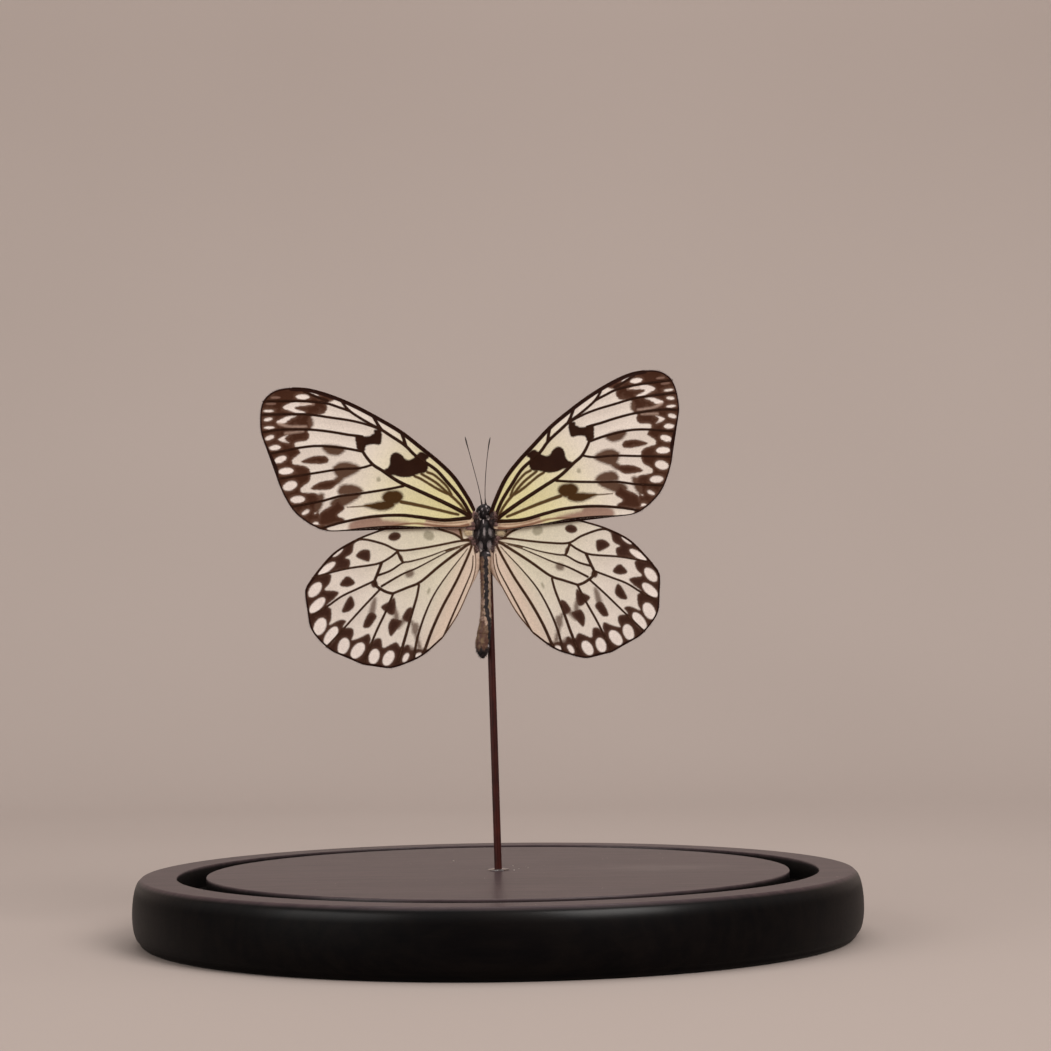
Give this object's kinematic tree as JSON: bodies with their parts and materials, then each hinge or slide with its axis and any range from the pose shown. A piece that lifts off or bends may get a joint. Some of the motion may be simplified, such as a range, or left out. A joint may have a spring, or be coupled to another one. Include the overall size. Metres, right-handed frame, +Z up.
{
  "type": "mounted butterfly on display base",
  "caption": "Dried butterfly with spread black and cream wings, fixed upright on a thin rod over a round dark wooden base with a ring groove for a dome.",
  "frame": {"origin": "centre of the base's flat underside, on the surface it stands on", "axes": "+Z up along the rod; -Y towards the viewer, who sees the insect's back; +X to the viewer's right"},
  "size_m": [0.2, 0.2, 0.1567],
  "materials": {
    "stained_wood": "black stain under a satin varnish, faint grain",
    "rod_wood": "dark red-brown stain, satin",
    "glue": "clear dried glue, glossy",
    "body_hair": "short black hair with white scale dots",
    "abdomen_hair": "short hair, cream sides and dark stripe",
    "wing_scales": "matt scales, cream with black-brown veins and spots",
    "black_shell": "dry black insect shell, slight sheen"
  },
  "bodies": {
    "root": {"base": "stained_wood", "rod": "rod_wood", "glue_bead": "glue", "thorax": "body_hair", "head": "body_hair", "abdomen": "abdomen_hair", "forewing_left": "wing_scales", "forewing_right": "wing_scales", "hindwing_left": "wing_scales", "hindwing_right": "wing_scales", "antenna_left": "black_shell", "antenna_right": "black_shell", "foreleg_left": "black_shell", "foreleg_right": "black_shell", "midleg_left": "black_shell", "midleg_right": "black_shell", "hindleg_left": "black_shell", "hindleg_right": "black_shell"}
  },
  "joints": []
}
